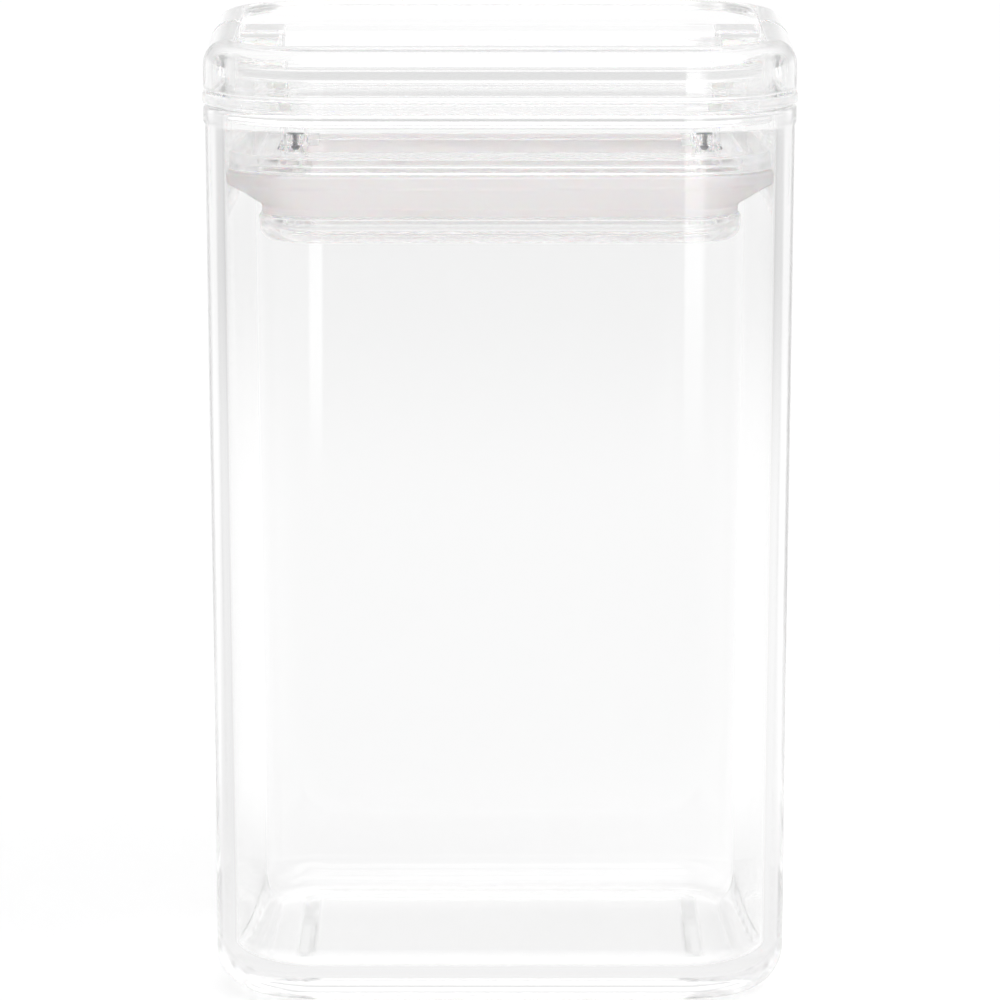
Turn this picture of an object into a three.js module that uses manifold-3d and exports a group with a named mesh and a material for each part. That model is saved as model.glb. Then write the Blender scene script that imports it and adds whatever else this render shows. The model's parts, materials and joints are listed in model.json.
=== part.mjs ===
// A clear, square storage canister with a flip-to-seal lid.
//
// The lid drops into the mouth of the canister. Folding its bail handle flat turns two cams, which push a
// presser plate down onto a silicone ring, and the ring's lip spreads out against the inside of the wall.
// Lifting the handle lets the lip pull in again, and the handle then carries the lid off.
//
// Units are millimetres, +Z is up and the front is -Y. The origin is the centre of the underside.
import * as THREE from "three";
import { mergeVertices } from "three/addons/utils/BufferGeometryUtils.js";
import Module from "manifold-3d";

const wasm = await Module();
wasm.setup();

// ---------------------------------------------------------------------------------------------
// Driving dimensions
// ---------------------------------------------------------------------------------------------

const fit = {
  face: 0.3, // between faces that press or rest on each other
  side: 0.4, // between faces that slide past each other
  bore: 0.2, // radial, round a turning journal
  plug: 0.8, // between the lid's plug and the inside of the canister
};

const canister = {
  height: 166,
  halfTop: 54.5, // half the outside width, at the rim
  taper: 1.8, // how much narrower the foot is, on each side
  corner: 21, // outside corner radius in plan, at the rim
  wallTop: 3.4,
  wallFoot: 3.6,
  floor: 5,
  footFillet: 8.5,
  cavityFillet: 5.5,
  ringWidth: 5, // flat ring that it stands on
  recess: 0.8, // depth of the hollow inside that ring
  beadHeight: 3, // thickened band under the rim
  beadProud: 0.3,
  rimRound: 0.8,
};

const flange = { overhang: 0.5, thickness: 2.1, edge: 0.5 };
const plug = { depth: 2.6, wall: 2.3, floor: 2, edge: 0.6 };

const bar = { width: 5.9, inset: 0.2, above: 6.3, below: 3, outerFillet: 4.6, innerFillet: 0.9, edge: 0.7 };
const channel = { skin: 1.7, hingeBlock: 6 }; // the handle is hollow below, as far back as its hinge blocks
const cover = { recess: 4.4, panel: 2, wall: 2.2, tongue: 2.4, gap: 0.5, sweep: 0.3 };
const hood = { wall: 1.3, roof: 1.5, front: 8.6, rear: 6, below: 0.6 };
const lug = { thickness: 2.5, half: 4.2, round: 3.7 };

const cam = { lead: 1.4, reach: 5.2, width: 3.9, rest: 3 }; // lead is the rise in mm for each radian
const journal = { radius: 2.8 };
const spigot = { half: 1.7, length: 4.6 };
// The pin crosses the front of the spigot, half sunk in a notch; in is its place along the spigot.
const lockPin = { radius: 0.85, below: 2.4, above: 2.2, in: 2.7, proud: 0.2 };

const presser = { gap: 5.6, thickness: 3.3, plate: 2, pad: 5.5, frame: 9, drop: 0.2 };
const presserTab = { half: 8, rim: 2 }; // joins each post to the frame and rides on a boss
const post = { halfDepth: 3, margin: 0.3 };
// The lip stands out all round the top of the gasket, and is undercut down to a narrower foot.
const gasket = { height: 8.1, wall: 8, lip: 2.2, undercut: 6.6, foot: 1.6, edge: 0.5, clearance: 0.35 };
const sealPlate = { depth: 4.7, proud: 0.6, round: 3, floor: 2.4, upstand: 6.4, wall: 2 };

const tie = { boss: 2.7, bossDepth: 7, column: 2.5, seat: 1.2 };
const screw = { radius: 0.95, head: 1.7, headHeight: 1.3, length: 4.9, recess: 0.7, recessWidth: 0.5 };

const arcSteps = 5; // facets in a quarter turn of a fillet
const cornerSteps = 4; // a plan corner has twice as many facets
const roundSteps = 20; // facets round a pin or a hole

// ---------------------------------------------------------------------------------------------
// Heights and widths that follow from them
// ---------------------------------------------------------------------------------------------

const rimZ = canister.height;
const outsideAt = (z) => canister.halfTop - canister.taper * (1 - z / rimZ);
const wallAt = (z) => canister.wallTop + (canister.wallFoot - canister.wallTop) * (1 - z / rimZ);
const insideAt = (z) => outsideAt(z) - wallAt(z);
const plan = { half: canister.halfTop, corner: canister.corner }; // every outline is this one, offset

const flangeBottom = rimZ + fit.face;
const flangeTop = flangeBottom + flange.thickness;
const flangeHalf = canister.halfTop + flange.overhang;
const plugBottom = rimZ - plug.depth;
const plugHalf = insideAt(rimZ) - fit.plug;
const plugInner = plugHalf - plug.wall;
const deckTop = plugBottom + plug.floor;

const axisZ = flangeTop + fit.face + bar.below; // the line that the handle turns on
const lidTop = axisZ + bar.above;
const barBottom = axisZ - bar.below;
const barHalf = flangeHalf - bar.inset;
const barInner = barHalf - bar.width;

const lugOuter = barInner - fit.side;
const lugInner = lugOuter - lug.thickness;
const camOuter = lugInner - fit.face;
const camInner = camOuter - cam.width;
const lockX = barInner + lockPin.in;
const lockY = -spigot.half - lockPin.proud;
const postInner = camInner + post.margin;
const postOuter = camOuter - post.margin;
const tieX = postInner - fit.side - tie.boss; // the ties stand just inboard of the posts

const presserTop = plugBottom - presser.gap;
const presserBottom = presserTop - presser.thickness;
const presserHalf = plugHalf - presser.drop;
const gasketTop = presserBottom - fit.face;
const gasketBottom = gasketTop - gasket.height;
const gasketHalf = insideAt((gasketTop + gasketBottom) / 2) - gasket.clearance;
const sealTop = gasketBottom - fit.face;
const sealHalf = gasketHalf - gasket.undercut + sealPlate.proud;
const upstandHalf = gasketHalf - gasket.wall - fit.face;
const bossBottom = plugBottom - tie.bossDepth;
const seatZ = bossBottom + tie.seat;
const columnTop = bossBottom - fit.face;

// ---------------------------------------------------------------------------------------------
// Shapes
// ---------------------------------------------------------------------------------------------

// A rounded square in plan, offset from the canister's own outline.
function squareShape(half) {
  const corner = Math.max(plan.corner + half - plan.half, 0.6);
  const c = half - corner;
  const quarter = Math.PI / 2;
  const shape = new THREE.Shape();
  shape.absarc(c, c, corner, 0, quarter, false);
  shape.absarc(-c, c, corner, quarter, 2 * quarter, false);
  shape.absarc(-c, -c, corner, 2 * quarter, 3 * quarter, false);
  shape.absarc(c, -c, corner, 3 * quarter, 4 * quarter, false);
  shape.closePath();
  return shape;
}

function squareOutline(half) {
  const points = squareShape(half).getPoints(cornerSteps);
  const first = points[0];
  while (points.at(-1).distanceTo(first) < 1e-6) points.pop();
  return points;
}

// Points of a fillet as [half width, z], from one angle to another in degrees, 0 pointing outwards.
function fillet(half, z, radius, from, to) {
  return Array.from({ length: arcSteps + 1 }, (_, i) => {
    const a = THREE.MathUtils.degToRad(from + ((to - from) * i) / arcSteps);
    return [half + radius * Math.cos(a), z + radius * Math.sin(a)];
  });
}

// A closed solid whose sections are rounded squares: the profile runs from the centre of one end, round the
// outside, to the centre of the other end.
function loft(profile) {
  const corners = profile.map(([half, z]) => new THREE.Vector2(half, z));
  const rings = corners
    .filter((corner, i) => i === 0 || corner.distanceTo(corners[i - 1]) > 1e-3)
    .map((corner) => squareOutline(corner.x).map((p) => new THREE.Vector3(p.x, p.y, corner.y)));
  const count = rings[0].length;
  const vertices = rings.flat();
  const startCentre = vertices.push(new THREE.Vector3(0, 0, profile[0][1])) - 1;
  const endCentre = vertices.push(new THREE.Vector3(0, 0, profile.at(-1)[1])) - 1;
  const faces = [];
  for (let i = 0; i < count; i++) {
    const next = (i + 1) % count;
    faces.push(startCentre, next, i);
    for (let r = 0; r + 1 < rings.length; r++) {
      const low = r * count;
      const high = low + count;
      faces.push(low + i, low + next, high + next, low + i, high + next, high + i);
    }
    const last = (rings.length - 1) * count;
    faces.push(endCentre, last + i, last + next);
  }
  const geometry = new THREE.BufferGeometry().setFromPoints(vertices);
  geometry.setIndex(faces);
  return solid(geometry);
}

const squareBlock = (half, z0, z1) => loft([[half, z0], [half, z1]]);

// ---------------------------------------------------------------------------------------------
// Solids: joining and cutting
// ---------------------------------------------------------------------------------------------

function solid(geometry) {
  const bare = geometry.clone();
  bare.deleteAttribute("normal");
  bare.deleteAttribute("uv");
  const merged = mergeVertices(bare, 1e-4);
  return new wasm.Manifold(
    new wasm.Mesh({
      numProp: 3,
      vertProperties: new Float32Array(merged.attributes.position.array),
      triVerts: new Uint32Array(merged.index.array),
    }),
  );
}

function join(...solids) {
  return solids.reduce((all, one) => all.add(one));
}

function cut(from, ...tools) {
  return tools.reduce((left, tool) => left.subtract(tool), from);
}

function box(x0, x1, y0, y1, z0, z1) {
  const geometry = new THREE.BoxGeometry(x1 - x0, y1 - y0, z1 - z0);
  return solid(geometry.translate((x0 + x1) / 2, (y0 + y1) / 2, (z0 + z1) / 2));
}

function uprightCylinder(x, y, radius, z0, z1) {
  const geometry = new THREE.CylinderGeometry(radius, radius, z1 - z0, roundSteps);
  return solid(geometry.rotateX(Math.PI / 2).translate(x, y, (z0 + z1) / 2));
}

// A cylinder along X, on the line that the handle turns on.
function crossCylinder(radius, x0, x1) {
  const geometry = new THREE.CylinderGeometry(radius, radius, Math.abs(x1 - x0), roundSteps);
  return solid(geometry.rotateZ(Math.PI / 2).translate((x0 + x1) / 2, 0, axisZ));
}

// The same stretch of X on the left, side -1, or on the right, side 1.
const span = (side, a, b) => [Math.min(side * a, side * b), Math.max(side * a, side * b)];

const bothSides = [
  { side: -1, name: "left" },
  { side: 1, name: "right" },
];

// ---------------------------------------------------------------------------------------------
// Materials
// ---------------------------------------------------------------------------------------------

const clear = { metalness: 0, transparent: true };
const finish = {
  glass: new THREE.MeshStandardMaterial({ ...clear, color: 0xeef3f3, roughness: 0.03, opacity: 0.35 }),
  clearPlastic: new THREE.MeshStandardMaterial({ ...clear, color: 0xf2f4f4, roughness: 0.06, opacity: 0.45 }),
  silicone: new THREE.MeshStandardMaterial({ color: 0xdedbdd, roughness: 0.55, metalness: 0 }),
  acetal: new THREE.MeshStandardMaterial({ color: 0xf1f1ee, roughness: 0.4, metalness: 0 }),
  steel: new THREE.MeshStandardMaterial({ color: 0x9a9c9e, roughness: 0.25, metalness: 1 }),
};

const product = new THREE.Group();

function addPiece(name, manifold, material) {
  const mesh = manifold.getMesh();
  const geometry = new THREE.BufferGeometry();
  geometry.setAttribute("position", new THREE.BufferAttribute(mesh.vertProperties, 3));
  geometry.setIndex(new THREE.BufferAttribute(mesh.triVerts, 1));
  geometry.computeVertexNormals();
  const piece = new THREE.Mesh(geometry, material);
  piece.name = name;
  product.add(piece);
}

// ---------------------------------------------------------------------------------------------
// Canister: one open glass box with round corners, a rounded foot and a thickened rim
// ---------------------------------------------------------------------------------------------

function canisterBody() {
  const c = canister;
  const footHalf = outsideAt(c.footFillet) - c.footFillet;
  const hollowHalf = footHalf - c.ringWidth;
  const beadZ = rimZ - c.beadHeight;
  const beadHalf = c.halfTop + c.beadProud;
  const cavityZ = c.floor + c.cavityFillet;
  const cavityHalf = insideAt(cavityZ) - c.cavityFillet;
  return loft([
    [hollowHalf - c.recess, c.recess],
    [hollowHalf, 0],
    ...fillet(footHalf, c.footFillet, c.footFillet, -90, 0),
    [outsideAt(beadZ - 2 * c.beadProud), beadZ - 2 * c.beadProud],
    [beadHalf, beadZ],
    ...fillet(beadHalf - c.rimRound, rimZ - c.rimRound, c.rimRound, 0, 90),
    ...fillet(insideAt(rimZ) + c.rimRound, rimZ - c.rimRound, c.rimRound, 90, 180),
    ...fillet(cavityHalf, cavityZ, c.cavityFillet, 0, -90),
  ]);
}

// ---------------------------------------------------------------------------------------------
// Lid base: a flange that rests over the rim, and a shallow pan inside the mouth
// ---------------------------------------------------------------------------------------------

function lidBase() {
  const shell = loft([
    [plugHalf - plug.edge, plugBottom],
    [plugHalf, plugBottom + plug.edge],
    [plugHalf, flangeBottom],
    [flangeHalf - flange.edge, flangeBottom],
    [flangeHalf, flangeBottom + flange.edge],
    [flangeHalf, flangeTop - flange.edge],
    [flangeHalf - flange.edge, flangeTop],
  ]);
  const pocket = squareBlock(plugInner, deckTop, flangeTop + 1);
  let base = cut(shell, pocket);
  for (const { side } of bothSides) {
    const across = span(side, lugInner, lugOuter);
    const root = span(side, lugInner, plugInner + 0.5);
    const rib = box(...root, -lug.half, lug.half, deckTop - 0.5, flangeTop - 0.1);
    const ear = box(...across, -lug.half, lug.half, deckTop - 0.5, axisZ);
    const top = crossCylinder(lug.round, ...across);
    const slot = box(
      ...span(side, postInner - fit.face, postOuter + fit.face),
      -post.halfDepth - fit.side,
      post.halfDepth + fit.side,
      plugBottom - 1,
      deckTop + 1,
    );
    const bearing = crossCylinder(journal.radius + fit.bore, ...span(side, lugInner - 1, lugOuter + 0.2));
    base = cut(join(base, rib, ear, top), slot, bearing);
  }
  for (const { side } of bothSides) {
    const boss = uprightCylinder(side * tieX, 0, tie.boss, bossBottom, plugBottom + 0.5);
    const well = uprightCylinder(side * tieX, 0, screw.head + fit.face, seatZ, deckTop + 1);
    const hole = uprightCylinder(side * tieX, 0, screw.radius + fit.face, bossBottom - 1, seatZ + 1);
    base = cut(join(base, boss), well, hole);
  }
  return base;
}

// ---------------------------------------------------------------------------------------------
// Raised bar round the top: the handle is its front half and the cover has its rear half
// ---------------------------------------------------------------------------------------------

function barOutside() {
  return loft([
    [barHalf - bar.edge, barBottom],
    [barHalf, barBottom + bar.edge],
    ...fillet(barHalf - bar.outerFillet, lidTop - bar.outerFillet, bar.outerFillet, 0, 90),
  ]);
}

// What is cut out of the bar: it opens a little at the top, where the inner edge is rounded.
function barInside(z0) {
  const r = bar.innerFillet;
  return loft([
    [barInner, z0],
    ...fillet(barInner + r, lidTop - r, r, 180, 90),
    [barInner + r, lidTop + 1],
  ]);
}

// The hollow in the handle's underside, which leaves walls of one thickness.
function handleChannel() {
  const far = flangeHalf + 5;
  const r = Math.max(bar.outerFillet - channel.skin, 0.3);
  const outside = loft([
    [barHalf - channel.skin, barBottom - 1],
    ...fillet(barHalf - channel.skin - r, lidTop - channel.skin - r, r, 0, 75),
  ]);
  const inside = squareBlock(barInner + channel.skin, barBottom - 2, lidTop);
  return cut(outside, inside, box(-far, far, -channel.hingeBlock, far, barBottom - 2, lidTop));
}

function flipHandle() {
  const far = flangeHalf + 5;
  const ring = cut(barOutside(), barInside(barBottom - 1), handleChannel());
  const behind = box(-far, far, bar.below, far, barBottom - 1, lidTop + 1);
  // The arm's lower rear corner is round, so that it clears the flange as the handle turns.
  const cornerBlock = box(-far, far, 0, bar.below + 1, barBottom - 1, axisZ);
  const cornerRound = cut(cornerBlock, crossCylinder(bar.below, -far, far));
  let handle = cut(ring, behind, cornerRound);
  for (const { side } of bothSides) {
    const half = spigot.half + fit.bore;
    const socket = box(
      ...span(side, barInner - 1, barInner + spigot.length),
      -half,
      half,
      axisZ - half,
      axisZ + half,
    );
    const holeTop = axisZ + lockPin.above + fit.face;
    const pinHole = uprightCylinder(side * lockX, lockY, lockPin.radius + fit.bore, barBottom - 1, holeTop);
    handle = cut(handle, socket, pinHole);
  }
  return handle;
}

// ---------------------------------------------------------------------------------------------
// Top cover: a recessed panel, the rear half of the raised bar and a hood over each cam
// ---------------------------------------------------------------------------------------------

function topCover() {
  const far = flangeHalf + 5;
  const panelTop = lidTop - cover.recess;
  const panelBottom = panelTop - cover.panel;
  const panelHalf = barInner - cover.gap;
  const tongueHalf = plugInner - fit.face;
  const trayInner = Math.min(panelHalf, tongueHalf) - cover.wall;
  const wallBottom = flangeTop - cover.tongue;
  const underside = squareBlock(trayInner, wallBottom - 1, panelBottom);
  const stepZ = tongueHalf < panelHalf ? barBottom : flangeTop; // clear of the flange, or of the handle
  const tray = loft([
    [tongueHalf, wallBottom],
    [tongueHalf, stepZ],
    [panelHalf, stepZ],
    [panelHalf, panelTop],
  ]);

  const sweep = Math.hypot(bar.above, bar.below) + cover.sweep; // clears the end of the handle's arm
  const raised = bar.above + cover.sweep; // clears the arm when it stands up
  const infront = box(-far, far, -far, raised, wallBottom - 1, lidTop + 1);
  const rearBar = cut(barOutside(), barInside(panelTop), infront, crossCylinder(sweep, -far, far));

  let made = cut(join(tray, rearBar), underside);
  for (const { side } of bothSides) {
    const inner = camInner - fit.face - hood.wall;
    const roof = axisZ + lug.round + fit.side;
    const shell = box(
      ...span(side, inner, lugOuter), -hood.front, hood.rear, panelBottom, roof + hood.roof,
    );
    const space = box(
      ...span(side, inner + hood.wall, lugOuter + 0.1),
      -hood.front + hood.wall,
      hood.rear - hood.wall,
      panelBottom - hood.below,
      roof,
    );
    const lugSpace = lug.half + fit.side;
    const camFace = camInner - fit.face;
    const openSide = box(...span(side, camFace, lugOuter + 0.1), -lugSpace, lugSpace, flangeTop - 1, roof);
    const camAcross = span(side, camFace, camOuter + fit.face);
    const camSweep = Math.hypot(cam.reach, cam.lead) + fit.side;
    const camSpace = box(...camAcross, -camSweep, lugSpace, flangeTop - 1, roof);
    const tongueNotch = box(...span(side, camFace, far), -lugSpace, lugSpace, 0, flangeTop);
    made = cut(join(made, shell), space, openSide, camSpace, tongueNotch);
  }
  return made;
}

// ---------------------------------------------------------------------------------------------
// Camshafts: cam, journal and square spigot in one, and the pin that locks each in the handle
// ---------------------------------------------------------------------------------------------

// The cam's outline about its axis as [y, z]. Its reach straight down falls by cam.lead for each radian that
// the handle is raised, so the presser rises in step with the handle.
function camOutline() {
  const down = Array.from({ length: 2 * arcSteps + 1 }, (_, i) => {
    const turn = ((Math.PI / 2) * i) / (2 * arcSteps);
    const reach = cam.reach - cam.lead * turn;
    return new THREE.Vector2(
      reach * Math.sin(turn) - cam.lead * Math.cos(turn),
      -reach * Math.cos(turn) - cam.lead * Math.sin(turn),
    );
  });
  const back = Array.from({ length: 2 * arcSteps + 1 }, (_, i) => {
    const turn = (Math.PI * i) / (2 * arcSteps);
    return new THREE.Vector2(cam.rest * Math.cos(turn), cam.rest * Math.sin(turn));
  });
  return [...down, ...back];
}

function alongX(shape, x0, x1) {
  const geometry = new THREE.ExtrudeGeometry(shape, { depth: x1 - x0, bevelEnabled: false });
  const turned = new THREE.Matrix4().makeBasis(
    new THREE.Vector3(0, 1, 0),
    new THREE.Vector3(0, 0, 1),
    new THREE.Vector3(1, 0, 0),
  );
  return solid(geometry.applyMatrix4(turned).translate(x0, 0, axisZ));
}

function camshaft(side) {
  const lobe = alongX(new THREE.Shape(camOutline()), ...span(side, camInner, camOuter));
  const neck = crossCylinder(journal.radius, ...span(side, camOuter - 1, barInner - fit.bore));
  const s = spigot.half;
  const end = barInner + spigot.length - fit.face;
  const drive = box(...span(side, barInner - 1, end), -s, s, axisZ - s, axisZ + s);
  const notch = uprightCylinder(side * lockX, lockY, lockPin.radius + fit.bore, axisZ - 2 * s, axisZ + 2 * s);
  return cut(join(lobe, neck, drive), notch);
}

function lockingPin(side) {
  const { radius, below, above } = lockPin;
  const edge = 0.2;
  const profile = [
    [0, -below],
    [radius - edge, -below],
    [radius, edge - below],
    [radius, above - edge],
    [radius - edge, above],
    [0, above],
  ].map(([r, z]) => new THREE.Vector2(r, z));
  const geometry = new THREE.LatheGeometry(profile, roundSteps).rotateX(Math.PI / 2);
  return solid(geometry.translate(side * lockX, lockY, axisZ));
}

// ---------------------------------------------------------------------------------------------
// Presser plate: an open frame that squeezes the gasket when the cams push down on its two posts
// ---------------------------------------------------------------------------------------------

function presserPlate() {
  const plateBottom = presserTop - presser.plate;
  const edge = plug.edge;
  const block = loft([
    [presserHalf, presserBottom],
    [presserHalf, presserTop - edge],
    [presserHalf - edge, presserTop],
  ]);
  const under = squareBlock(presserHalf - presser.pad, presserBottom - 1, plateBottom);
  const openHalf = presserHalf - presser.frame;
  const tabInner = tieX - tie.boss - fit.face - presserTab.rim;
  let plate = cut(block, under, squareBlock(openHalf, presserBottom - 1, presserTop + 1));
  for (const { side } of bothSides) {
    const across = span(side, tabInner, openHalf + 1);
    const tab = box(...across, -presserTab.half, presserTab.half, plateBottom, presserTop);
    const stem = box(
      ...span(side, postInner, postOuter),
      -post.halfDepth,
      post.halfDepth,
      plateBottom + 0.5,
      axisZ - cam.reach - fit.face,
    );
    const hole = uprightCylinder(side * tieX, 0, tie.boss + fit.face, presserBottom - 1, presserTop + 1);
    plate = cut(join(plate, tab, stem), hole);
  }
  return plate;
}

// ---------------------------------------------------------------------------------------------
// Gasket: a ring squeezed between the presser and the seal plate
// ---------------------------------------------------------------------------------------------

function sealGasket() {
  const { lip, undercut, foot, edge } = gasket;
  const outside = loft([
    [gasketHalf - undercut, gasketBottom],
    [gasketHalf - undercut, gasketBottom + foot],
    [gasketHalf - edge, gasketTop - lip - edge],
    [gasketHalf, gasketTop - lip + edge],
    [gasketHalf, gasketTop - edge],
    [gasketHalf - edge, gasketTop],
  ]);
  return cut(outside, squareBlock(gasketHalf - gasket.wall, gasketBottom - 1, gasketTop + 1));
}

// ---------------------------------------------------------------------------------------------
// Seal plate: hung from the lid base on two columns, it holds the gasket from below
// ---------------------------------------------------------------------------------------------

function sealingPlate() {
  const { depth, round, floor, upstand, wall } = sealPlate;
  const bottom = sealTop - depth;
  const block = loft([
    ...fillet(sealHalf - round, bottom + round, round, -90, 0),
    [sealHalf, sealTop],
    [upstandHalf, sealTop],
    [upstandHalf, sealTop + upstand - 0.6],
    [upstandHalf - 0.6, sealTop + upstand],
  ]);
  let plate = cut(block, squareBlock(upstandHalf - wall, bottom + floor, sealTop + upstand + 1));
  const boreBottom = seatZ + fit.bore + screw.headHeight - screw.length - 1;
  for (const { side } of bothSides) {
    const column = uprightCylinder(side * tieX, 0, tie.column, bottom + floor - 0.5, columnTop);
    const bore = uprightCylinder(side * tieX, 0, screw.radius + fit.bore, boreBottom, columnTop + 1);
    plate = cut(join(plate, column), bore);
  }
  return plate;
}

// A small pan-head screw, standing upright with a cross recess in its head.
function tieScrew(side) {
  const head = seatZ + fit.bore;
  const top = head + screw.headHeight;
  const tip = top - screw.length;
  const profile = [
    [0, tip],
    [screw.radius * 0.5, tip],
    [screw.radius, tip + 0.6],
    [screw.radius, head],
    [screw.head, head],
    [screw.head, head + 0.5 * screw.headHeight],
    [screw.head - 0.35, top - 0.1],
    [screw.head - 0.6, top],
    [0, top],
  ].map(([r, z]) => new THREE.Vector2(r, z));
  const x = side * tieX;
  const body = solid(new THREE.LatheGeometry(profile, roundSteps).rotateX(Math.PI / 2).translate(x, 0, 0));
  const long = screw.head * 0.55;
  const thin = screw.recessWidth / 2;
  const deep = top - screw.recess;
  return cut(
    body,
    box(x - long, x + long, -thin, thin, deep, top + 1),
    box(x - thin, x + thin, -long, long, deep, top + 1),
  );
}

// ---------------------------------------------------------------------------------------------
// Assembly
// ---------------------------------------------------------------------------------------------

addPiece("canister_body", canisterBody(), finish.glass);
addPiece("lid_base", lidBase(), finish.clearPlastic);
addPiece("top_cover", topCover(), finish.clearPlastic);
addPiece("flip_handle", flipHandle(), finish.clearPlastic);
addPiece("presser_plate", presserPlate(), finish.clearPlastic);
addPiece("seal_plate", sealingPlate(), finish.clearPlastic);
addPiece("seal_gasket", sealGasket(), finish.silicone);
for (const { side, name } of bothSides) {
  addPiece(`camshaft_${name}`, camshaft(side), finish.acetal);
  addPiece(`lock_pin_${name}`, lockingPin(side), finish.steel);
  addPiece(`tie_screw_${name}`, tieScrew(side), finish.steel);
}

export default product;
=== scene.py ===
import json
import math
import bpy
import bmesh
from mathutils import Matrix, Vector


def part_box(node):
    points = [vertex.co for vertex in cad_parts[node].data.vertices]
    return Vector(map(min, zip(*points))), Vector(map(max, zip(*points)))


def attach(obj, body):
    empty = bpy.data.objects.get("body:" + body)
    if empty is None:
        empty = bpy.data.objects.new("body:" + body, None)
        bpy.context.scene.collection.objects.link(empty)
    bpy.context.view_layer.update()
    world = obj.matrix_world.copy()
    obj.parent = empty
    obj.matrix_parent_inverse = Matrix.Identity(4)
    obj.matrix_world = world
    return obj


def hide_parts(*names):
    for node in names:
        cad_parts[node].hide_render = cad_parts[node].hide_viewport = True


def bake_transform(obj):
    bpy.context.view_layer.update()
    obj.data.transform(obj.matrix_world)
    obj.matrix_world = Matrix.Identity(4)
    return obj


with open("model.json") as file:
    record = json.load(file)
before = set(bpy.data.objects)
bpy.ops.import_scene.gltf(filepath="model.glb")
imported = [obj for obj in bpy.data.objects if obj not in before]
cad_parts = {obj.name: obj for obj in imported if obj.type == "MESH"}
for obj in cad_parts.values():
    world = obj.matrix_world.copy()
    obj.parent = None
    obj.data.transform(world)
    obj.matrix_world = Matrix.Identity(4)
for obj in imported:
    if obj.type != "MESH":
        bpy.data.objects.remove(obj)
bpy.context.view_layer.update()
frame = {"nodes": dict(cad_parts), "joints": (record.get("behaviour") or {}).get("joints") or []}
print("frame loaded:", len(frame["nodes"]), "pieces")

mm = 0.001
tiny = 0.01 * mm  # two places closer than this are the same
shortest = 0.0001 * mm  # a shorter step in a profile is left out
weld = 0.002 * mm  # verts closer than this are merged
hair = 0.01  # in mm, keeps two cuts from ending in one plane
past = 1  # in mm, how far a cutter runs past the piece, or a rod starts inside what it joins
sunk = 0.5  # in mm, how far a block sinks into the piece it joins
beside = 60  # in mm, well clear of the lid's sides
levelNormal = 0.9  # a face whose normal rises or falls this steeply is level
capCorners = 20  # only the caps, with their round corners, have more verts than this
up, down = 1, -1
left, right = -1, 1


def rest():
    # out of edit mode, with nothing selected
    if bpy.context.object and bpy.context.object.mode == "EDIT":
        bpy.ops.object.mode_set(mode="OBJECT")
    bpy.ops.object.select_all(action="DESELECT")


def take(piece):
    rest()
    piece.select_set(True)
    bpy.context.view_layer.objects.active = piece


def edit(piece):
    take(piece)
    bpy.ops.object.mode_set(mode="EDIT")
    bpy.ops.mesh.select_all(action="DESELECT")


def pick(kind, test):
    # selects the faces, edges or verts that pass the test, and nothing else
    mesh = bpy.context.object.data
    parts = bmesh.from_edit_mesh(mesh)
    bpy.ops.mesh.select_all(action="DESELECT")
    bpy.context.tool_settings.mesh_select_mode = (kind == "verts", kind == "edges", kind == "faces")
    for part in getattr(parts, kind):
        part.select_set(bool(test(part)))
    parts.select_flush_mode()
    bmesh.update_edit_mesh(mesh)


def middle(part):
    return sum((v.co for v in part.verts), Vector()) / len(part.verts)


def isUpright(edge):
    a, b = edge.verts
    return abs(a.co.z - b.co.z) > tiny and (a.co.xy - b.co.xy).length < tiny


def isLevel(edge):
    return abs(edge.verts[0].co.z - edge.verts[1].co.z) < tiny


def isAbove(part, z):
    # all of it at this height in mm, or higher
    return min(v.co.z for v in part.verts) > z * mm - tiny


def isBelow(part, z):
    return max(v.co.z for v in part.verts) < z * mm + tiny


def settle(piece, angle=35):
    # smooth shading that stays flat on the flat faces
    take(piece)
    bpy.ops.object.shade_smooth_by_angle(angle=math.radians(angle))
    bpy.ops.object.modifier_add(type="WEIGHTED_NORMAL")
    piece.modifiers[-1].keep_sharp = True
    bpy.ops.object.modifier_apply(modifier=piece.modifiers[-1].name)


def combine(piece, tool, how):
    take(piece)
    bpy.ops.object.modifier_add(type="BOOLEAN")
    mod = piece.modifiers[-1]
    mod.operation = how
    mod.solver = "EXACT"
    mod.object = tool
    bpy.ops.object.modifier_apply(modifier=mod.name)
    bpy.data.objects.remove(tool, do_unlink=True)


def block(low, high):
    # a plain block between two corners, in mm
    rest()
    size = [(b - a) * mm for a, b in zip(low, high)]
    place = [(a + b) / 2 * mm for a, b in zip(low, high)]
    bpy.ops.mesh.primitive_cube_add(size=1, location=place, scale=size)
    bpy.ops.object.transform_apply(location=True, rotation=True, scale=True)
    return bpy.context.object


def rod(centre, radius, low, high, axis="z", sides=64):
    # a round rod along one axis, centre being its place across that axis, in mm
    rest()
    if axis == "z":
        place, turn = (centre[0], centre[1], (low + high) / 2), (0, 0, 0)
    else:
        place, turn = ((low + high) / 2, centre[0], centre[1]), (0, math.pi / 2, 0)
    bpy.ops.mesh.primitive_cylinder_add(vertices=sides, radius=radius * mm, depth=(high - low) * mm,
                                        location=[c * mm for c in place], rotation=turn)
    bpy.ops.object.transform_apply(location=True, rotation=True, scale=True)
    return bpy.context.object


def roundEdges(piece, test, radius, steps=3):
    edit(piece)
    pick("edges", test)
    bpy.ops.mesh.bevel(offset=radius * mm, segments=steps, affect="EDGES", profile=0.5)
    rest()
    return piece


def slab(half, low, high, corner, steps=16):
    # a square slab with round corners in plan
    piece = block((-half, -half, low), (half, half, high))
    return roundEdges(piece, isUpright, corner, steps)


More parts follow.
